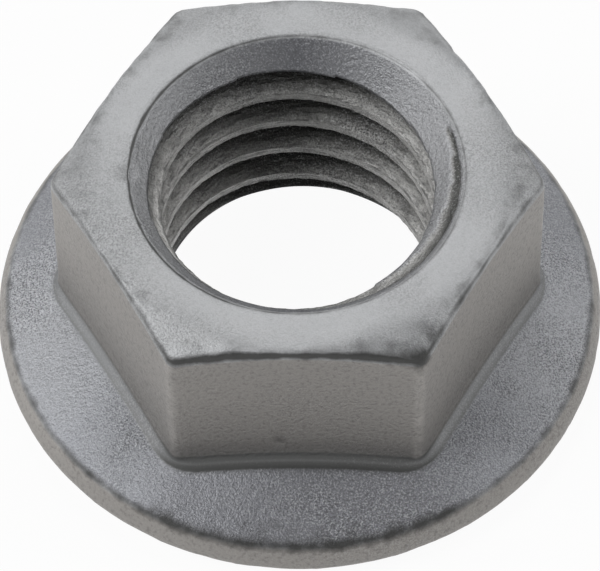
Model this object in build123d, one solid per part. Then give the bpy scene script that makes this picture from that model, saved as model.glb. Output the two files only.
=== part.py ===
from build123d import *
from build123d.topology import SkipClean
from math import ceil, radians, tan
import os

# Serrated flange nut, M12 x 1.75, cold forged and tapped in one piece: one solid.
#
# Frame: the thread axis is Z and the tips of the locking teeth stand on z = 0. The open end of the
# hexagon looks up, and one of its flats faces -Y. Lengths are in millimetres, angles in degrees.

# Hexagon
across_flats = 16.0
nut_height = 10.0
corner_round = 0.4  # radius along the six upright corners
chamfer_circle = 15.5  # diameter of the plain ring that the corner chamfer leaves on the top face
chamfer_angle = 25.0  # fall of the corner chamfer, from the horizontal

# Flange
flange_diameter = 23.1
cone_diameter = 22.4  # of the crease where the flange's upper cone meets the rim
cone_height = 1.74  # of that crease above the tooth tips
flange_slope = 20.0  # fall of the cone, from the horizontal
rim_top = 1.15  # the upright band of the rim ends at this height
rim_bottom = 0.65  # and starts at this one
bearing_diameter = 21.8  # the rim's lower bevel ends in the plane of the tooth tips here
foot_bevel = 0.36  # along the hexagon and along the cone, in the corner between them

# Thread: ISO basic profile, right hand
thread_diameter = 12.0
thread_pitch = 1.75
flank_angle = 60.0  # between the two flanks of a groove
groove_start = 0.98  # height of the groove's middle where it crosses +X, less any whole turns
top_countersink = 12.4  # diameter where it opens in the top face
bottom_countersink = 13.0  # diameter where it would open in the plane of the tooth tips
countersink_angle = 90.0

# Locking teeth under the flange
tooth_count = 24
tooth_depth = 0.45  # of a gap between two teeth, at the rim
tooth_land = 2.4  # angle that a tooth's flat tip takes up, seen from the thread axis
tooth_back = 2.2  # angle that its steep locking side takes up
relief_diameter = 16.6  # of the ring inside the teeth that stays clear of the clamped part
relief_depth = 0.4

# Working values
bore_walls = 4  # the bore is cut as this many equal walls, so no crest face winds round on itself
spare = 0.5  # how far a cutter reaches past the metal that it removes

flange_radius = flange_diameter / 2
sharp_height = thread_pitch / 2 / tan(radians(flank_angle / 2))  # of the full thread triangle
crest_radius = thread_diameter / 2 - sharp_height * 5 / 8
root_width = thread_pitch / 8


def revolved(points):
    """The solid that a closed outline of (radius, height) points sweeps round the thread axis."""
    outline = Polyline(*[(radius, 0, height) for radius, height in points], close=True)
    return revolve(make_face(outline), Axis.Z)


def hexagon():
    """The wrench body: a prism with rounded corners, whose top corners are turned off to a cone."""
    prism = extrude(RegularPolygon(across_flats / 2, 6, major_radius=False), nut_height)
    prism = fillet(prism.edges().filter_by(Axis.Z), corner_round)
    reach = across_flats
    ring = chamfer_circle / 2
    fall = (reach - ring) * tan(radians(chamfer_angle))
    turned = revolved([(0, 0), (reach, 0), (reach, nut_height - fall), (ring, nut_height), (0, nut_height)])
    return prism & turned


def flange():
    """The conical flange, with bevels above and below the upright band of its rim."""
    cone = cone_diameter / 2
    rise = cone * tan(radians(flange_slope))
    return revolved(
        [
            (0, 0),
            (bearing_diameter / 2, 0),
            (flange_radius, rim_bottom),
            (flange_radius, rim_top),
            (cone, cone_height),
            (0, cone_height + rise),
        ]
    )


def forging():
    """Hexagon and flange in one, with a bevel along the foot of the hexagon."""
    wrench_body = hexagon()
    skirt = flange()
    blank = wrench_body + skirt
    foot = new_edges(wrench_body, skirt, combined=blank)
    return chamfer(foot, foot_bevel)


def countersink(mouth_diameter, mouth_height, way_in):
    """A conical cutter at one end of the bore; way_in is 1 where it narrows upwards, -1 downwards."""
    taper = tan(radians(countersink_angle / 2))
    mouth = mouth_diameter / 2
    outer_end = mouth_height - way_in * spare
    point = mouth_height + way_in * mouth / taper
    return revolved([(0, outer_end), (mouth + spare * taper, outer_end), (0, point)])


def bore():
    """The drilled hole at the thread's crests, as equal walls side by side."""
    arc = 360 / bore_walls
    length = nut_height + 2 * spare
    wall = Cylinder(crest_radius, length, arc_size=arc, align=(Align.NONE, Align.NONE, Align.MIN))
    return [Location((0, 0, -spare), (0, 0, arc * turn)) * wall for turn in range(bore_walls)]


def thread_groove():
    """The helical groove that the tap cuts, turn by turn, from below the nut to above it."""
    inner = crest_radius - spare
    root = thread_diameter / 2
    inner_width = root_width + 2 * (root - inner) * tan(radians(flank_angle / 2))
    section = Polyline(
        (inner, 0, -inner_width / 2),
        (root, 0, -root_width / 2),
        (root, 0, root_width / 2),
        (inner, 0, inner_width / 2),
        close=True,
    )
    one_turn = sweep(make_face(section), path=Helix(thread_pitch, thread_pitch, root), is_frenet=True)
    first = groove_start - thread_pitch
    turns = ceil((nut_height - first) / thread_pitch)
    return [Pos(0, 0, first + turn * thread_pitch) * one_turn for turn in range(turns)]


def relief():
    """The ring inside the teeth."""
    return Pos(0, 0, -spare) * Cylinder(
        relief_diameter / 2, spare + relief_depth, align=(Align.CENTER, Align.CENTER, Align.MIN)
    )


def tooth_gaps():
    """The gaps between the locking teeth, each deepest at the rim and running out on the axis.

    Seen from above and going round counterclockwise, a gap starts at the steep side of one tooth
    and ends up the gentle ramp of the next. So the nut turns freely while it is tightened, and its
    steep sides dig in when it would come loose. One tooth's flat tip lies on +X.
    """
    reach = flange_radius + spare
    depth = tooth_depth * reach / flange_radius
    bottom = reach * tan(radians(tooth_back))
    ramp_end = reach * tan(radians(360 / tooth_count - tooth_land))
    past_ramp = 2 * ramp_end - bottom
    corners = [(reach, -bottom, -depth), (reach, bottom, depth), (reach, past_ramp, -depth)]
    gap = loft([make_face(Polyline(*corners, close=True)), Vertex(0, 0, 0)])
    return [Rot(0, 0, tooth_land / 2 + turn * 360 / tooth_count) * gap for turn in range(tooth_count)]


nut = forging()
nut -= countersink(top_countersink, nut_height, -1)
nut -= countersink(bottom_countersink, 0, 1)

# The walls of the bore are kept apart, so faces that touch aren't merged from here on.
with SkipClean():
    for wall in bore():
        nut -= wall
    for turn in thread_groove():
        nut -= turn
    nut -= relief()
    for gap in tooth_gaps():
        nut -= gap

os.makedirs("parts", exist_ok=True)
export_step(nut, "parts/flange_nut.step")
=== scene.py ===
# %% [markdown]
# # A serrated flange nut
# This is one nut of cold-forged steel with a matte silver-grey zinc-flake coat: a hexagon for the
# wrench, a conical flange that serves as its washer, locking teeth under the flange and a tapped
# thread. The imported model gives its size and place. Here it gets a finer skin and its real finish.

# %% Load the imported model
from math import ceil, cos, pi, radians, sin, tan

import bpy
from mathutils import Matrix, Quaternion, Vector


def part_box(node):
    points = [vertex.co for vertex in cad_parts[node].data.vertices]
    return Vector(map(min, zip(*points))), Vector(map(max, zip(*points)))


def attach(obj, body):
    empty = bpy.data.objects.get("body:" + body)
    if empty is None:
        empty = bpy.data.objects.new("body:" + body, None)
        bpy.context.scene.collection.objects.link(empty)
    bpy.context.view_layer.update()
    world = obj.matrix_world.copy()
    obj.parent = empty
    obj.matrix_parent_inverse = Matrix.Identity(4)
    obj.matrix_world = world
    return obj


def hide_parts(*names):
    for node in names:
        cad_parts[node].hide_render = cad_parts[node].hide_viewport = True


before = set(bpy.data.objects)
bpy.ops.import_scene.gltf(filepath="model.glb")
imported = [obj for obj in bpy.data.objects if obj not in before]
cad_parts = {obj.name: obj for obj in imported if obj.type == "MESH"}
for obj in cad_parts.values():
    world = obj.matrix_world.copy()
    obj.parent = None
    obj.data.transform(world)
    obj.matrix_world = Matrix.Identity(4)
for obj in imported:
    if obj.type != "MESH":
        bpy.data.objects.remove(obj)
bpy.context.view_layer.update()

MM = 0.001

# %% [markdown]
# ## The sizes
# A nut is made to a standard, so a few sizes fix its whole form. They are in millimetres and
# degrees, and are those of the solid, whose upright corners are a little sharper. The flange's
# width and the nut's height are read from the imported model, and the skin stays a hair inside it.

# %% Sizes of the nut
skin_gap = 0.012  # how far the skin stays inside the solid at the flange and at the top
packed_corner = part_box("flange_nut")[1]  # its highest corner, in metres
flange_radius = packed_corner[0] / MM - skin_gap
nut_height = packed_corner[2] / MM - skin_gap
seat_height = skin_gap / 4  # of the tooth tips, above the floor

across_flats = 16.0
corner_round = 0.55  # radius of the six upright corners
foot_round = 2.0  # radius of the same corners at the hexagon's foot
chamfer_circle = 15.5  # diameter of the flat ring that the corner chamfer leaves on top
chamfer_angle = 25.0  # its fall, from the horizontal

cone_diameter = 22.4  # of the crease where the flange's cone meets the rim
cone_height = 1.74  # of that crease
flange_slope = 20.0  # fall of the cone, from the horizontal
rim_top = 1.15  # the upright band of the rim ends at this height
rim_bottom = 0.65  # and starts at this one
bearing_diameter = 21.8  # where the rim's lower bevel meets the plane of the tooth tips
foot_bevel = 0.36  # along the hexagon and along the cone, in the corner between them

thread_diameter = 12.0
thread_pitch = 1.75
flank_angle = 60.0  # between the two flanks of a groove
groove_start = 0.98  # height of the groove's middle where it crosses +X, less any whole turns
top_countersink = 12.4  # diameter where it opens in the top face
bottom_countersink = 13.0  # diameter where it would open in the plane of the tooth tips

tooth_count = 24
tooth_depth = 0.45  # of a gap between two teeth, at the rim
tooth_land = 2.4  # angle that a tooth's flat tip takes up
tooth_back = 2.2  # angle that its steep locking side takes up
relief_diameter = 16.6  # of the ring inside the teeth that stays clear of the clamped part
relief_depth = 0.4

print("across flats", across_flats, "height", round(nut_height, 3), "flange", round(2 * flange_radius, 3))

# %% [markdown]
# ## Writing a shape as a formula
# Geometry Nodes work a formula out at every point of a mesh. Long formulas are easier to read as
# text than as hundreds of wired boxes, so this helper turns ordinary arithmetic into Math nodes.
# Each Rule is one value of the tree: adding two of them makes an Add node, and so on.


# %% Rule: arithmetic that builds nodes
class Rule:
    """A value that the node tree works out at each point, with the usual arithmetic."""

    def __init__(self, tree, socket):
        self.tree = tree
        self.socket = socket

    def node(self, operation, *others):
        """A Math node on this value and the others, as a new Rule."""
        made = self.tree.nodes.new("ShaderNodeMath")
        made.operation = operation
        for socket, value in zip(made.inputs, (self, *others)):
            feed(self.tree, value, socket)
        return Rule(self.tree, made.outputs[0])

    def __add__(self, other):
        return self.node("ADD", other)

    def __sub__(self, other):
        return self.node("SUBTRACT", other)

    def __mul__(self, other):
        return self.node("MULTIPLY", other)

    def __truediv__(self, other):
        return self.node("DIVIDE", other)

    def __rsub__(self, other):
        return self * -1 + other

    def __rtruediv__(self, other):
        return self.node("POWER", -1) * other

    __radd__ = __add__
    __rmul__ = __mul__

    def least(self, other):
        """The smaller of two values."""
        return self.node("MINIMUM", other)

    def most(self, other):
        """The larger of two values."""
        return self.node("MAXIMUM", other)

    def between(self, low, high):
        """This value, held between two bounds."""
        return self.most(low).least(high)


def feed(tree, value, socket):
    """Gives a socket its value: a wire from a Rule, or a plain number."""
    if isinstance(value, Rule):
        tree.links.new(value.socket, socket)
    else:
        socket.default_value = value


def rise(value, start, end):
    """0 as far as start, 1 from end on, and even in between. It falls where end is the lower."""
    return ((value - start) / (end - start)).between(0, 1)


def length_of(across, up):
    """Length of the arrow that goes that far across and up."""
    return (across * across + up * up).node("SQRT")


# %% [markdown]
# ## The tree and its inputs
# A nut could be cut from a hexagonal bar with booleans, but then its edges stay knife sharp and
# its thread gets ragged triangles. Here the whole nut is one sheet of quads that is bent round into
# a ring: its columns go round the thread axis, and its rows go up the bore, over the top, down the
# outside and back underneath. Sizes that a maker would want to change are named inputs of the tree.

# %% Start the tree
shape = bpy.data.node_groups.new("flange_nut_shape", "GeometryNodeTree")
shape.interface.new_socket(name="Nut", in_out="OUTPUT", socket_type="NodeSocketGeometry")
tree_inputs = {
    "Across flats": across_flats,
    "Nut height": nut_height,
    "Flange radius": flange_radius,
    "Thread diameter": thread_diameter,
    "Thread pitch": thread_pitch,
    "Tooth depth": tooth_depth,
    "Forging waviness": 0.02,  # these three are depths in the metal, in millimetres too
    "Edge wear": 0.05,
    "Thread roughness": 0.11,
}
for name in tree_inputs:
    shape.interface.new_socket(name=name, in_out="INPUT", socket_type="NodeSocketFloat")
shape.interface.new_socket(name="Coat", in_out="INPUT", socket_type="NodeSocketMaterial")
entry = shape.nodes.new("NodeGroupInput")


def size(name):
    """A named input of the tree, as a Rule."""
    return Rule(shape, entry.outputs[name])


print("named inputs:", ", ".join(tree_inputs))

# %% [markdown]
# ## Rows and columns
# Evenly spaced columns would miss the edges of the teeth or waste thousands of quads. So they stand
# closer together where the form turns fast: four on the flat tip of each locking tooth, three down
# its steep side and nine up its ramp. Tooth tips and hexagon corners lie on the same directions, so
# the corners get close columns too.

# %% How many columns and bore rows
land_columns, steep_columns, ramp_columns = 4, 3, 9
columns_per_tooth = land_columns + steep_columns + ramp_columns
columns = columns_per_tooth * tooth_count

rows_per_pitch = 24
mouth_trim = 0.12  # the round at each mouth of the bore takes this much off both its sides
bore_bottom = relief_depth + mouth_trim * cos(pi / 4)
bore_top = nut_height - mouth_trim * cos(pi / 4)
rows_below = ceil((groove_start + thread_pitch - bore_bottom) / thread_pitch * rows_per_pitch)
first_row_height = groove_start - thread_pitch * rows_below / rows_per_pitch
bore_rows = ceil((bore_top - first_row_height) / thread_pitch * rows_per_pitch)
print(columns, "columns,", bore_rows, "rows in the bore")

# %% [markdown]
# ## Where each part of the section lies
# Seen in a half-plane through the axis, the nut's outline is a chain of corners. Some of them move
# as the half-plane turns: the hexagon's wall comes and goes, and so do the teeth underneath.
# Each corner is written once, as a distance from the axis and a height.

# %% The grid, and the direction of each column
grid = shape.nodes.new("GeometryNodeMeshGrid")
place = shape.nodes.new("ShaderNodeSeparateXYZ")
shape.links.new(shape.nodes.new("GeometryNodeInputPosition").outputs[0], place.inputs[0])


def counted(axis, steps):
    """The number of each grid line, from 0 to steps."""
    return (Rule(shape, place.outputs[axis]) + steps / 2).node("ROUND")


column = counted("X", columns)
tooth_pitch = 360 / tooth_count
tooth = (column / columns_per_tooth).node("FLOOR")
in_tooth = column - tooth * columns_per_tooth
land = tooth_land / 2
steep_end = land + tooth_back
ramp_end = tooth_pitch - land
on_land = in_tooth.between(0, land_columns) / land_columns * tooth_land
down_steep = (in_tooth - land_columns).between(0, steep_columns) / steep_columns * tooth_back
up_ramp = (in_tooth - land_columns - steep_columns).most(0) / ramp_columns * (ramp_end - steep_end)
from_tip = on_land + down_steep + up_ramp - land
azimuth = tooth * tooth_pitch + from_tip
turned = azimuth * (pi / 180)

# %% Hexagon wall
in_sixth = azimuth + land - ((azimuth + land) / 60).node("FLOOR") * 60 - land
from_flat = (in_sixth - 30).node("ABSOLUTE") * (pi / 180)
from_corner = pi / 6 - from_flat


def hexagon(inradius, rounding):
    """Distance from the axis to a hexagon with rounded corners."""
    flat = inradius / from_flat.node("COSINE")
    centre = (inradius - rounding) / cos(pi / 6)
    sideways = centre * from_corner.node("SINE")
    corner = centre * from_corner.node("COSINE") + (rounding**2 - sideways * sideways).node("SQRT")
    touch = rounding / 2 * centre / (centre + rounding * cos(pi / 6))
    return flat + (corner - flat) * (sideways - touch).node("LESS_THAN", 0)


inradius = size("Across flats") / 2
wall_radius = hexagon(inradius, corner_round)
foot_radius = hexagon(inradius + foot_bevel * cos(radians(flange_slope)), foot_round)

# %% Teeth, from their tips down into the gaps
down_steep_side = (from_tip - land) / tooth_back
down_ramp_side = (ramp_end - from_tip) / (ramp_end - steep_end)
gap_share = down_steep_side.least(down_ramp_side).most(0)  # 0 on a tooth's tip, 1 at the gap's floor
gap_slope = gap_share * size("Tooth depth") / size("Flange radius")

# %% Distances and slopes of the section
fall = tan(radians(chamfer_angle))
cone_fall = tan(radians(flange_slope))
height = size("Nut height")
ring = chamfer_circle / 2
cone = cone_diameter / 2
bearing = bearing_diameter / 2
relief = relief_diameter / 2
outer = size("Flange radius")
cone_at_wall = cone_height + (cone - wall_radius) * cone_fall
bevel_run = (flange_radius - bearing) / rim_bottom
bearing_height = gap_slope * bearing / (1 - gap_slope * bevel_run)
upper_mouth = top_countersink / 2
lower_mouth = bottom_countersink / 2 - relief_depth

# %% The corners of the section, in order from the upper mouth of the bore
corners = [
    # distance from the axis, height, length trimmed off each side for the round, rows in the round
    (upper_mouth, height, mouth_trim, 4),
    (ring, height, 0.9, 6),
    (wall_radius, height - (wall_radius - ring) * fall, 0.3, 8),
    (wall_radius, cone_at_wall + foot_bevel, 0.6, 6),
    (foot_radius, cone_height + (cone - foot_radius) * cone_fall, 0.2, 4),
    (cone, cone_height, 0.24, 7),
    (outer, rim_top, 0.3, 5),
    (outer, rim_bottom, 0.22, 5),
    (bearing + bearing_height * bevel_run, bearing_height + seat_height, 0.12, 4),
    (relief, gap_slope * relief + seat_height, 0.06, 3),
    (relief, relief_depth, 0.08, 3),
    (lower_mouth, relief_depth, mouth_trim, 4),
]
straight_rows = [3, 2, 10, 2, 9, 3, 2, 3, 8, 2, 6]  # after each corner but the last
rows = bore_rows + sum(corner[3] for corner in corners) + sum(straight_rows)
print(rows, "rows in all")

# %% [markdown]
# ## The tapped bore
# A tap cuts a groove that climbs one pitch a turn. Rows that lie level would cross its edges and
# fray them, so the rows of the bore climb with it, and crest and root run along them and stay
# crisp. At both ends the rows would leave the nut, so their height is held there: the spare rows
# fall on one line and are merged away.

# %% Bore radius at a height and direction
row = counted("Y", rows)
last = row.node("GREATER_THAN", rows - 0.5)  # the last row lies on the first, which closes the nut
climb = azimuth / 360
pitch = size("Thread pitch")
turns_up = row * (1 - last) / rows_per_pitch + climb
bore_height = (turns_up * pitch + first_row_height).between(bore_bottom, bore_top)
half_flank = tan(radians(flank_angle / 2))
root = size("Thread diameter") / 2
crest = root - pitch / 2 / half_flank * (5 / 8)  # the standard thread keeps 5/8 of its triangle
root_width = pitch / 8
phase = (bore_height - groove_start) / pitch - climb + 0.5
from_groove = (phase - phase.node("FLOOR") - 0.5).node("ABSOLUTE") * pitch
thread_radius = (root - (from_groove - root_width / 2) / half_flank).least(root).most(crest)
upper_cone = bore_height - (height - upper_mouth)
lower_cone = lower_mouth + relief_depth - bore_height
cones = upper_cone.most(lower_cone)
cone_blend = 0.05  # softens the line where the thread runs out into a countersink
bore_radius = thread_radius.node("SMOOTH_MAX", cones, cone_blend)
groove_depth = ((thread_radius - crest) / (root - crest)).between(0, 1)

# %% [markdown]
# ## Rounds and straight stretches
# No edge of a forging is sharp. Each corner of the section becomes a short curve (a quadratic
# Bezier, whose pull is the corner itself), with a straight stretch to the next. A stretch is only
# as long as its neighbours leave it, and its rows gather towards its ends, where light turns.


# %% Trimmed corners, curves and stretches
nothing = row * 0  # adding it makes a plain number a Rule
most_trim = 0.45  # the largest share of a stretch that a round at its end takes


def towards(corner, other, trim):
    """The point that lies trim from a corner on the way to another, but short of half-way."""
    across = other[0] - corner[0] + nothing
    up = other[1] - corner[1] + nothing
    share = (trim / length_of(across, up)).least(most_trim)
    return corner[0] + across * share, corner[1] + up * share


def share_of(start, steps):
    """0 before a piece of the outline, 1 after it, and rising evenly in between."""
    return ((row - start) / steps).between(0, 1)


def curve(start, pull, end, share):
    """A point of a rounded corner."""
    rest = 1 - share
    return tuple(
        rest * rest * a + 2 * rest * share * b + share * share * c for a, b, c in zip(start, pull, end)
    )


def stretch(start, end, share):
    """A point of a straight stretch, with its rows gathered at the ends."""
    eased = share * share * (3 - 2 * share)
    return tuple(a + (b - a) * eased for a, b in zip(start, end))


def switched(past, before, after):
    """Before a row, one value; past it, another."""
    node = shape.nodes.new("GeometryNodeSwitch")
    node.input_type = "FLOAT"
    feed(shape, past, node.inputs["Switch"])
    feed(shape, before, node.inputs["False"])
    feed(shape, after, node.inputs["True"])
    return Rule(shape, node.outputs[0])


# %% Chain the pieces of the outline
up_in_bore = (upper_mouth - 1, height - 1)  # the countersinks are 45 degree cones
down_in_bore = (lower_mouth - 1, relief_depth + 1)
point = (bore_radius, bore_height)
next_row = bore_rows
named_rows = []
for number, (radius, level, trim, steps) in enumerate(corners):
    before = corners[number - 1] if number else up_in_bore
    after = corners[number + 1] if number + 1 < len(corners) else down_in_bore
    start = towards((radius, level), before, trim)
    end = towards((radius, level), after, trim)
    piece = curve(start, (radius, level), end, share_of(next_row, steps))
    past = row.node("GREATER_THAN", next_row)
    point = tuple(switched(past, a, b) for a, b in zip(point, piece))
    named_rows.append(next_row + steps / 2)
    next_row += steps
    if number < len(straight_rows):
        there = corners[number + 1]
        stop = towards(there, (radius, level), there[2])
        piece = stretch(end, stop, share_of(next_row, straight_rows[number]))
        past = row.node("GREATER_THAN", next_row)
        point = tuple(switched(past, a, b) for a, b in zip(point, piece))
        next_row += straight_rows[number]
point = tuple(switched(last, a, b) for a, b in zip(point, (bore_radius, bore_height)))
mouth_row, _, brow_row, wall_foot_row, cone_foot_row, crease_row = named_rows[:6]
bearing_row = named_rows[8]
print("outline ends at row", next_row, "of", rows)

# %% [markdown]
# ## Marks for the finish
# The coat looks different on the forged walls, on the coarse flange and in the tapped bore, and
# edges that knock together rub dark. Some marks also carry painted light and shade: shade in the
# grooves, in the hexagon's foot and on some edges, a highlight on the crests and the upright corners,
# and light and shade on the flange and in the bore by direction. A material could find these places
# by their height or slope, but the tree already knows its rows and columns. So it stores where each
# place is on the mesh, as named attributes for the material to read.


# %% Which part of the nut a row belongs to
def from_row(start, end):
    """1 on the rows that lie between two, and 0 on those two and beyond."""
    return rise(row, start, start + 1) * rise(row, end, end - 1)


in_bore = rise(row, bore_rows, bore_rows - 1)
on_wall = from_row(brow_row + 3, wall_foot_row + 2)
on_foot = from_row(wall_foot_row, cone_foot_row + 1)
on_cone = from_row(cone_foot_row, crease_row)
on_rim = from_row(crease_row + 1, bearing_row)
# Painted shade: the walls are darker towards their foot.
shade_low_on_wall = rise(point[1], 7, 3) * on_wall
in_thread = in_bore * (bore_radius - cones - 0.04).node("GREATER_THAN", 0)
# Painted shade deep in the thread's grooves.
groove_shade = rise(groove_depth, 0.12, 0.745) * in_bore
# A painted highlight along the lower edge of each crest.
crest_highlight = rise(groove_depth, 0, 0.033).least(rise(groove_depth, 0.133, 0.05)) * in_thread

# %% Which way a column faces
# These directions place the painted light and shade on the flange and in the bore, and weight the painted
# shade on the edges and in the foot.
front = rise((turned + pi / 2).node("COSINE"), 0.8, 0.9)
left = (turned.node("COSINE") * -1).between(0, 1)
sides = turned.node("COSINE").node("ABSOLUTE")
forward_lean = radians(12)  # the painted light on the flange is strongest a little in front of both sides
# Painted light: the flange is paler at both sides, where the lamps light it.
towards_painted_light = sides * cos(forward_lean) - turned.node("SINE") * sin(forward_lean)
painted_light_sides = rise(towards_painted_light, 0.9, 1)
at_corner = rise(from_corner, 0.022, 0)


# %% How far each edge is rubbed, and where shade is painted on edges and in the foot
def near(centre, width):
    """1 on a row, falling to 0 at width rows away."""
    return rise((row - centre).node("ABSOLUTE"), width, 0)


# Dark edges, partly real wear and partly painted shade: the extra weight in front is painted shade.
brow_wear_and_shade = near(brow_row - 0.5, 6) * (0.8 + 0.67 * front)
beside_brow = near(brow_row - 6, 9) * 0.5
crease_wear_and_shade = near(crease_row, 6 + 3 * front) * (0.84 + 0.25 * front)
edge_wear_and_shade = brow_wear_and_shade.most(beside_brow).most(crease_wear_and_shade).least(1.3)
# The mouth's edge is worn, and painted shade makes it darker on the left.
mouth_wear_and_shade = near(mouth_row, 2.4) * (0.72 + 0.6 * left)
# Painted shade in the corner at the hexagon's foot, strongest in front, and low on the walls.
wall_foot_shade = near(wall_foot_row, 5) * (0.08 + 0.42 * front)
foot_shade = on_foot * (0.36 + 0.4 * front)
cone_foot_shade = near(cone_foot_row, 3) * (0.3 + 0.3 * front)
shade_in_foot = wall_foot_shade + foot_shade + cone_foot_shade + shade_low_on_wall * 0.16

# %% Store the marks on the sheet
marks = {
    "bore": in_bore,
    # where the bore gets painted light at its sides and painted shade in front and behind
    "painted bore light": in_bore * sides,
    "thread": in_thread,
    # painted shade deep in the grooves
    "groove": groove_shade,
    # painted highlight along the crests
    "crest highlight": crest_highlight,
    "wall": on_wall,
    # where the painted highlight runs down the upright corners
    "corner": at_corner * on_wall,
    # painted shade in the foot and low on the walls
    "foot": shade_in_foot,
    "cone": on_cone,
    # painted shade on the front of the flange
    "painted cone shade": on_cone * front,
    # painted light on both sides of the flange
    "painted cone light": on_cone * painted_light_sides,
    "rim": on_rim,
    "edge": edge_wear_and_shade,
    "mouth": mouth_wear_and_shade,
}


def store(geometry, name, value):
    """Keeps a value at each point of a mesh under a name, and gives the mesh with it."""
    node = shape.nodes.new("GeometryNodeStoreNamedAttribute")
    node.data_type = "FLOAT"
    node.domain = "POINT"
    node.inputs["Name"].default_value = name
    shape.links.new(geometry, node.inputs["Geometry"])
    feed(shape, value, node.inputs["Value"])
    return node.outputs["Geometry"]


grid.inputs["Size X"].default_value = columns
grid.inputs["Size Y"].default_value = rows
grid.inputs["Vertices X"].default_value = columns + 1
grid.inputs["Vertices Y"].default_value = rows + 1
sheet = grid.outputs["Mesh"]
for name, value in marks.items():
    sheet = store(sheet, name, value)
print("marks:", ", ".join(marks))

# %% [markdown]
# ## Bend the sheet into the nut
# Set Position moves every point of the flat sheet to its place. That leaves the faces pointing
# into the metal, so they are flipped. Where the sheet meets itself, and where spare rows lie on
# each other, Merge by Distance welds it, so that the mesh is closed.

# %% Set the points and weld the seams
weld_distance = 0.0008
bent = shape.nodes.new("ShaderNodeCombineXYZ")
feed(shape, point[0] * turned.node("COSINE") * MM, bent.inputs[0])
feed(shape, point[0] * turned.node("SINE") * MM, bent.inputs[1])
feed(shape, point[1] * MM, bent.inputs[2])
placed = shape.nodes.new("GeometryNodeSetPosition")
shape.links.new(sheet, placed.inputs["Geometry"])
shape.links.new(bent.outputs[0], placed.inputs["Position"])

outward = shape.nodes.new("GeometryNodeFlipFaces")
shape.links.new(placed.outputs[0], outward.inputs["Mesh"])
welded = shape.nodes.new("GeometryNodeMergeByDistance")
welded.inputs["Distance"].default_value = weld_distance * MM
shape.links.new(outward.outputs[0], welded.inputs["Geometry"])

# %% [markdown]
# ## Forging marks and wear in the metal itself
# Forged walls are a little wavy, edges are knocked down here and there, and the coat is lumpy in
# the thread. Bump alone would leave the silhouette perfect, so the points themselves move along
# their normals, always into the metal. All noise is fixed, so every run makes the same nut.


# %% Noise and round marks for the metal
def named(name):
    """A stored attribute, as a Rule."""
    node = shape.nodes.new("GeometryNodeInputNamedAttribute")
    node.data_type = "FLOAT"
    node.inputs["Name"].default_value = name
    return Rule(shape, node.outputs["Attribute"])


def lumps(feature_size, detail, offset, flatness=1.0):
    """Noise from 0 to 1 with lumps of that size, in millimetres, or streaks if they are flattened."""
    moved = shape.nodes.new("ShaderNodeVectorMath")
    moved.operation = "MULTIPLY_ADD"
    shape.links.new(shape.nodes.new("GeometryNodeInputPosition").outputs[0], moved.inputs[0])
    wide = 1 / MM / feature_size
    moved.inputs[1].default_value = (wide, wide, wide * flatness)
    moved.inputs[2].default_value = (offset,) * 3
    noise = shape.nodes.new("ShaderNodeTexNoise")
    noise.inputs["Scale"].default_value = 1.0
    noise.inputs["Detail"].default_value = detail
    shape.links.new(moved.outputs[0], noise.inputs["Vector"])
    return Rule(shape, noise.outputs["Fac"]).between(0, 1)


def spot(centre, radius):
    """1 in the middle of a round mark and 0 outside it, with a ragged edge."""
    gap = shape.nodes.new("ShaderNodeVectorMath")
    gap.operation = "DISTANCE"
    shape.links.new(shape.nodes.new("GeometryNodeInputPosition").outputs[0], gap.inputs[0])
    gap.inputs[1].default_value = [value * MM for value in centre]
    ragged = Rule(shape, gap.outputs["Value"]) / (radius * MM) + (lumps(0.3, 2, 31.0) - 0.5) * 0.9
    return rise(ragged, 1.1, 0.6)


# %% Marks that this nut has picked up
marks_of_use = [
    # where it is on the nut in millimetres, its radius, how deep it goes, how dark it is
    ((4.5, -7.8, 9.4), 0.55, 0.03, 1.0),  # rubbed corner at the front right
    ((4.0, -7.85, 9.5), 0.42, 0.02, 0.85),
    ((4.95, -7.0, 9.6), 0.36, 0.03, 0.7),
    ((3.4, -7.9, 9.6), 0.4, 0.02, 0.6),
    ((-4.55, 7.0, 9.45), 0.34, 0.12, 0.5),  # notch at the back left
    ((5.75, 5.6, 9.55), 0.35, 0.03, 0.3),  # knock at the back right
    ((7.9, -0.5, 9.2), 0.4, 0.05, 0.5),
    ((-6.2, 0.0, 9.95), 0.4, 0.12, 0.15),  # kink in the mouth of the countersink
    ((-0.65, -8.0, 4.05), 0.2, 0.05, 0.6),  # small pits in the walls
    ((-1.95, -8.0, 8.75), 0.12, 0.04, 0.5),
    ((-4.5, -7.95, 8.6), 0.22, 0.04, 0.3),
    ((7.9, -6.2, 2.6), 0.35, 0.03, 0.4),  # rubbed grains on the flange
]
spots, dents = nothing, nothing
for centre, radius, deep, dark in marks_of_use:
    here = spot(centre, radius)
    spots = spots.most(here * dark)
    dents = dents.most(here * deep)
marked = store(welded.outputs[0], "spot", spots)
print(len(marks_of_use), "marks of use")

# %% Move the points into the metal
edge_depth = size("Edge wear")
waves = lumps(3.5, 2, 4.0) * size("Forging waviness") * (1 - named("thread"))
brow_knocks = rise(lumps(0.8, 3, 11.0), 0.42, 0.67) * named("edge") * edge_depth
rim_knocks = rise(lumps(1.6, 3, 37.0), 0.5, 0.75) * named("rim") * edge_depth * 0.7
mouth_knocks = lumps(2.5, 1, 17.0) * named("mouth") * edge_depth
grains_and_scores = lumps(0.25, 2, 23.0) * 0.6 + lumps(1.0, 3, 27.0, 6.0)
rough_turns = grains_and_scores * size("Thread roughness") * named("thread")
depth = (waves + brow_knocks + rim_knocks + mouth_knocks + dents + rough_turns) * MM

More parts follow.
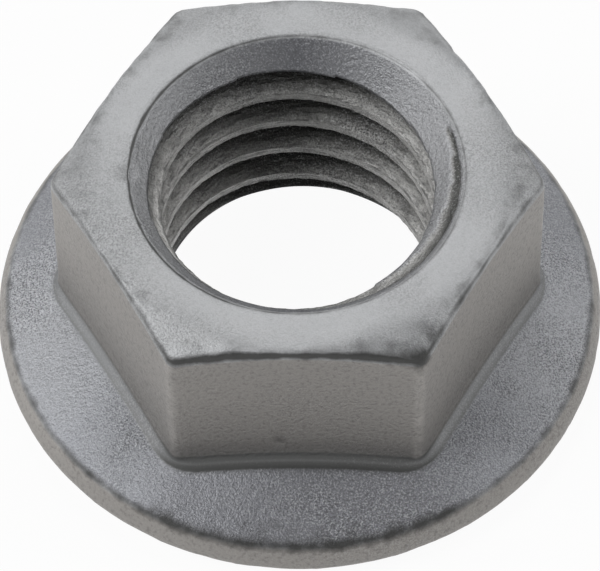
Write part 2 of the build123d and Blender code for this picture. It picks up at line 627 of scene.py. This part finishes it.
inward = shape.nodes.new("ShaderNodeVectorMath")
inward.operation = "SCALE"
shape.links.new(shape.nodes.new("GeometryNodeInputNormal").outputs[0], inward.inputs[0])
feed(shape, depth * -1, inward.inputs["Scale"])
worn = shape.nodes.new("GeometryNodeSetPosition")
shape.links.new(marked, worn.inputs["Geometry"])
shape.links.new(inward.outputs[0], worn.inputs["Offset"])

# %% Finish the tree
smooth = shape.nodes.new("GeometryNodeSetShadeSmooth")
real = shape.nodes.new("GeometryNodeRealizeInstances")
coated = shape.nodes.new("GeometryNodeSetMaterial")
leave = shape.nodes.new("NodeGroupOutput")
shape.links.new(worn.outputs[0], smooth.inputs["Geometry"])
shape.links.new(smooth.outputs[0], real.inputs[0])
shape.links.new(real.outputs[0], coated.inputs["Geometry"])
shape.links.new(entry.outputs["Coat"], coated.inputs["Material"])
shape.links.new(coated.outputs[0], leave.inputs[0])
print(len(shape.nodes), "nodes in the tree")

# %% [markdown]
# ## The coat
# Zinc flake is a dip coating: tiny flat flakes of zinc and aluminium in a binder, so it is matte,
# silver grey and slightly grainy, half metal and half paint. It could be one colour with noise,
# but the real coat changes from place to place, so the colour is built in layers. Each layer lies
# over the ones before it, as much as a stored mark or a noise says. Some layers are painted light
# and shade: the bore is painted darker in front and behind and paler at its sides, the flange darker
# in front and paler at its sides, the grooves and the hexagon's foot get painted shade, and the
# crests and upright corners get painted highlights.

# %% Helpers for the material
coat = bpy.data.materials.new("zinc_flake")
coat.use_nodes = True
coat_tree = coat.node_tree
coat_tree.nodes.clear()


def coat_node(kind, **values):
    """A node of the coat with some of its inputs set or wired, by name."""
    made = coat_tree.nodes.new(kind)
    for name, value in values.items():
        socket = made.inputs[name.replace("_", " ")]
        if isinstance(value, bpy.types.NodeSocket):
            coat_tree.links.new(value, socket)
        else:
            socket.default_value = value
    return made


def coat_mark(name):
    """A mark stored on the mesh, as a Rule of the coat."""
    made = coat_tree.nodes.new("ShaderNodeAttribute")
    made.attribute_name = name
    return Rule(coat_tree, made.outputs["Fac"])


body_point = coat_node("ShaderNodeTexCoord").outputs["Object"]


def grain(lumps_per_mm, detail=2.0, flatness=1.0):
    """Noise from 0 to 1 that is fixed to the metal, or streaks round it if the lumps are flattened."""
    stretched = coat_tree.nodes.new("ShaderNodeVectorMath")
    stretched.operation = "MULTIPLY"
    coat_tree.links.new(body_point, stretched.inputs[0])
    stretched.inputs[1].default_value = (1, 1, flatness)
    noise = coat_node("ShaderNodeTexNoise", Scale=lumps_per_mm / MM, Detail=detail)
    coat_tree.links.new(stretched.outputs[0], noise.inputs["Vector"])
    return Rule(coat_tree, noise.outputs["Fac"])


def blend(share, before, after):
    """A colour that goes from one to another."""
    made = coat_tree.nodes.new("ShaderNodeMix")
    made.data_type = "RGBA"
    feed(coat_tree, share, made.inputs["Factor"])
    for socket, value in ((made.inputs["A"], before), (made.inputs["B"], after)):
        if isinstance(value, bpy.types.NodeSocket):
            coat_tree.links.new(value, socket)
        else:
            socket.default_value = (*value, 1)
    return made.outputs["Result"]


# %% Noises of the coat
fine, coarse = grain(15), grain(6)
grit = grain(6, 3, 1.1)
streaks = grain(1.6, 4, 7.0)
cloud = grain(0.5, 3)
rub = grain(1.4, 4)
patches = rise(grain(0.25), 0.3, 0.7).most(0.35)

# %% Where the coat is grainy, dirty or worn, and where light and shade are painted
wall = coat_mark("wall").most(coat_mark("rim"))
flange, bore, thread = coat_mark("cone"), coat_mark("bore"), coat_mark("thread")
foot, painted_bore_light = coat_mark("foot"), coat_mark("painted bore light")
place_grain = (0.65 + flange * 0.6 + bore * 0.6) * (1 - wall * 0.3)
grainy = place_grain * (1 - foot * 0.7).most(0) * patches
dark_grains = rise(fine, 0.5, 0.375) * grainy
bright_grains = rise(fine, 0.54, 0.665) * grainy
dirt = rise(grit, 0.5, 0.3) * (0.25 + wall * 0.55)
dark_streaks = rise(streaks, 0.5, 0.333) * thread
# A painted highlight down the six upright corners, broken up by noise.
corner_highlight = coat_mark("corner") * rise(rub, 0.35, 0.683)
edges = coat_mark("edge").most(coat_mark("mouth"))
ragged_edge = (rub - 0.5) * 1.8
# Dark bare steel where edges are worn, plus painted shade where the edge marks are weighted to the front
# and the left.
wear_and_edge_shade = (edges * 1.6 - 0.65 + ragged_edge).between(0, 1).most(coat_mark("spot"))

# %% The layers of colour, from the lowest up
# Painted light and shade in the bore: dark in front and behind, pale at the sides.
bore_light_and_shade = blend(painted_bore_light, (0.20, 0.205, 0.222), (0.46, 0.465, 0.48))
thread_light_and_shade = blend(painted_bore_light, (0.38, 0.38, 0.365), (0.80, 0.79, 0.77))
layers = [
    # how much of the layer shows, its colour
    (wall, (0.42, 0.40, 0.38)),  # forged walls and rim are a little warmer
    (flange, (0.39, 0.40, 0.43)),
    # painted shade: the flange is darker in front
    (coat_mark("painted cone shade"), (0.30, 0.305, 0.33)),
    # painted light: the flange is paler at its sides
    (coat_mark("painted cone light"), (0.50, 0.51, 0.54)),
    # painted shade in the bore in front and behind, painted light at its sides
    (bore, bore_light_and_shade),
    # painted light on the thread at the sides of the bore, painted shade in front and behind
    (thread * 0.95, thread_light_and_shade),
    (foot, (0.12, 0.122, 0.12)),  # painted shade in the corner at the hexagon's foot and low on the walls
    # painted highlight down the upright corners
    (corner_highlight * 0.4, (0.72, 0.69, 0.66)),
    # painted shade deep in the grooves
    (coat_mark("groove") * thread * 0.92, (0.035, 0.037, 0.03)),
    (dark_grains * 0.6, (0.11, 0.11, 0.115)),
    (bright_grains * 0.55, (0.78, 0.79, 0.81)),
    (dirt * 0.45, (0.12, 0.115, 0.11)),
    (dark_streaks * 0.5, (0.10, 0.10, 0.098)),
    # painted highlight along the lower edge of each crest
    (coat_mark("crest highlight") * 0.7, (0.72, 0.715, 0.68)),
    (wear_and_edge_shade * 0.9, (0.045, 0.045, 0.042)),  # dark bare steel where worn, with painted shade along the edges in front and at the mouth's left
]
colour = blend(cloud, (0.42, 0.43, 0.44), (0.50, 0.505, 0.515))
for share, tint in layers:
    colour = blend(share, colour, tint)
print(len(layers), "layers over the plain coat")

# %% Roughness, metal and bump
bump_height = 0.05
rough = 0.45 + (fine - 0.5) * 0.3 + wall * 0.08
metal = 0.48 - wear_and_edge_shade * 0.3
bumps = (fine - 0.5) * grainy + (coarse - 0.5) * (flange * 0.5 + bore * 0.9)
bumps = bumps + (grit - 0.5) * wall * 0.7 + (streaks - 0.5) * thread * 3
bump = coat_node("ShaderNodeBump", Strength=1.0, Distance=bump_height * MM)
feed(coat_tree, bumps, bump.inputs["Height"])
surface = coat_node("ShaderNodeBsdfPrincipled", Base_Color=colour, Normal=bump.outputs[0])
feed(coat_tree, rough, surface.inputs["Roughness"])
feed(coat_tree, metal, surface.inputs["Metallic"])
coat_node("ShaderNodeOutputMaterial", Surface=surface.outputs[0])

# %% [markdown]
# ## Make the nut
# The tree runs once, on an object with an empty mesh that only carries the modifier. What comes
# out is kept as an ordinary mesh and the carrier goes, so nothing is left to be worked out later.
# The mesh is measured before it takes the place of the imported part.

# %% Run the tree and keep the mesh
carrier = bpy.data.objects.new("carrier", bpy.data.meshes.new("carrier"))
bpy.context.scene.collection.objects.link(carrier)
modifier = carrier.modifiers.new("shape", "NODES")
modifier.node_group = shape
for item in shape.interface.items_tree:
    if item.in_out == "INPUT":
        modifier[item.identifier] = coat if item.name == "Coat" else float(tree_inputs[item.name])
evaluated = carrier.evaluated_get(bpy.context.evaluated_depsgraph_get())
nut_mesh = bpy.data.meshes.new_from_object(evaluated)
bpy.data.objects.remove(carrier)
nut_mesh.name = "flange_nut_skin"
nut = bpy.data.objects.new("flange_nut_skin", nut_mesh)
bpy.context.scene.collection.objects.link(nut)

# %% Measure the mesh
triangles = sum(len(polygon.vertices) - 2 for polygon in nut_mesh.polygons)
sides_of_edge = {}
for polygon in nut_mesh.polygons:
    for pair in polygon.edge_keys:
        sides_of_edge[pair] = sides_of_edge.get(pair, 0) + 1
open_edges = sum(1 for count in sides_of_edge.values() if count != 2)
nut_volume = sum(polygon.center.dot(polygon.normal) * polygon.area for polygon in nut_mesh.polygons) / 3
print("edges without two faces:", open_edges, "volume:", round(nut_volume / MM**3), "cubic mm")
print("skin:", len(nut_mesh.vertices), "points,", triangles, "triangles")

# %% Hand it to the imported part
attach(nut, "root")
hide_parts("flange_nut")

# %% [markdown]
# ## Floor and backdrop
# The nut stands on a plain white floor. A floor that is white by light alone would need lamps that
# wash the nut out. So the floor glows a little less than white where the camera or the metal sees
# it, keeps a soft shadow, and throws only plain grey light back at the nut. The sky does the same.

# %% The floor's plane
floor_mesh = bpy.data.meshes.new("floor")
floor_reach = 0.6
floor_corners = [(-1, -1), (1, -1), (1, 1), (-1, 1)]
floor_points = [(x * floor_reach, y * floor_reach, 0) for x, y in floor_corners]
floor_mesh.from_pydata(floor_points, [], [(0, 1, 2, 3)])
floor = bpy.data.objects.new("floor", floor_mesh)
bpy.context.scene.collection.objects.link(floor)


# %% What is seen, and what only lights
def seen_directly(tree):
    """1 for what the camera sees directly or mirrored in the metal, and 0 for light itself."""
    path = tree.nodes.new("ShaderNodeLightPath")
    by_camera = Rule(tree, path.outputs["Is Camera Ray"])
    in_gloss = Rule(tree, path.outputs["Is Glossy Ray"])
    through_glass = Rule(tree, path.outputs["Is Transmission Ray"])
    return by_camera.most(in_gloss).most(through_glass)


def plain_shader(tree, kind, grey):
    """A shader of one grey, whose strength stays 1."""
    made = tree.nodes.new(kind)
    made.inputs["Color"].default_value = (grey, grey, grey, 1)
    return made


def mixed(tree, share, before, after):
    """A shader between two others."""
    made = tree.nodes.new("ShaderNodeMixShader")
    feed(tree, share, made.inputs[0])
    tree.links.new(before.outputs[0], made.inputs[1])
    tree.links.new(after.outputs[0], made.inputs[2])
    return made


# %% White paper for the floor
glow_share = 0.95  # the rest is ordinary paper, which shows the shadow
paper = bpy.data.materials.new("white_paper")
paper.use_nodes = True
paper_tree = paper.node_tree
paper_tree.nodes.clear()
shaded = plain_shader(paper_tree, "ShaderNodeBsdfDiffuse", 0.55)
bright = plain_shader(paper_tree, "ShaderNodeBsdfDiffuse", 0.95)
glow = plain_shader(paper_tree, "ShaderNodeEmission", 1)
shown = mixed(paper_tree, glow_share, bright, glow)
whole_paper = mixed(paper_tree, seen_directly(paper_tree), shaded, shown)
paper_end = paper_tree.nodes.new("ShaderNodeOutputMaterial")
paper_tree.links.new(whole_paper.outputs[0], paper_end.inputs[0])
floor_mesh.materials.append(paper)

# %% The sky
world = bpy.data.worlds.new("studio")
world.use_nodes = True
bpy.context.scene.world = world
sky_tree = world.node_tree
sky_tree.nodes.clear()
dim = plain_shader(sky_tree, "ShaderNodeBackground", 0.05)
white = plain_shader(sky_tree, "ShaderNodeBackground", 1)
direction = sky_tree.nodes.new("ShaderNodeSeparateXYZ")
sky_point = sky_tree.nodes.new("ShaderNodeTexCoord").outputs["Generated"]
sky_tree.links.new(sky_point, direction.inputs[0])
low_down = rise(Rule(sky_tree, direction.outputs["Z"]), 0.7, 0.2)
camera_ray = sky_tree.nodes.new("ShaderNodeLightPath").outputs["Is Camera Ray"]
backdrop = seen_directly(sky_tree) * low_down.most(Rule(sky_tree, camera_ray))
sky_end = sky_tree.nodes.new("ShaderNodeOutputWorld")
sky_tree.links.new(mixed(sky_tree, backdrop, dim, white).outputs[0], sky_end.inputs[0])
bpy.context.scene.view_settings.view_transform = "Standard"
print("the floor reaches", floor_reach, "m each way from the nut")

# %% [markdown]
# ## Light and camera
# Light from the front would flatten the nut. Three soft windows stand behind it and at both sides,
# so that the top face is bright and the front wall is dark, and a weak low one on the left models
# the walls and the flange. The camera looks down at the nut from the front with a long lens.

# %% Directions
def towards_sky(azimuth_angle, elevation):
    """The direction at that angle round from +X, and at that angle above the floor."""
    flat = cos(radians(elevation))
    around = radians(azimuth_angle)
    return Vector((flat * cos(around), flat * sin(around), sin(radians(elevation))))


# %% Lights
lamp_distance = 0.4
lamp_width = 0.18
lamps = [
    # name, azimuth, elevation, power in watts
    ("back window", 92, 56, 0.35),
    ("left window", 192, 56, 0.60),
    ("right window", 10, 50, 0.28),
    ("low left", 178, 15, 0.14),
]
for name, azimuth_angle, elevation, power in lamps:
    lamp = bpy.data.lights.new(name, "AREA")
    lamp.size = lamp_width
    lamp.energy = power
    placed_lamp = bpy.data.objects.new(name, lamp)
    bpy.context.scene.collection.objects.link(placed_lamp)
    away = towards_sky(azimuth_angle, elevation)
    placed_lamp.location = away * lamp_distance
    placed_lamp.rotation_mode = "QUATERNION"
    placed_lamp.rotation_quaternion = away.to_track_quat("Z", "Y")
print(len(lamps), "lights")

# %% Camera
camera_elevation = 56.6668
camera_turn = 1.1216  # round the nut, from straight in front
camera_roll = 0.936
camera_distance = 0.1907  # in metres, as is the point that it looks at
looks_at = Vector((0.00003, 0, 0.00235))

camera = bpy.data.objects.new("camera", bpy.data.cameras.new("camera"))
bpy.context.scene.collection.objects.link(camera)
camera.data.sensor_width = 36
camera.data.lens = 300.22
camera.data.clip_start = 0.01
camera.data.clip_end = 10
turn = Quaternion((0, 0, 1), radians(camera_turn))
level = turn @ Quaternion((1, 0, 0), radians(90 - camera_elevation))
camera.location = turn @ (looks_at + towards_sky(-90, camera_elevation) * camera_distance)
camera.rotation_mode = "QUATERNION"
camera.rotation_quaternion = level @ Quaternion((0, 0, 1), radians(-camera_roll))
bpy.context.scene.camera = camera
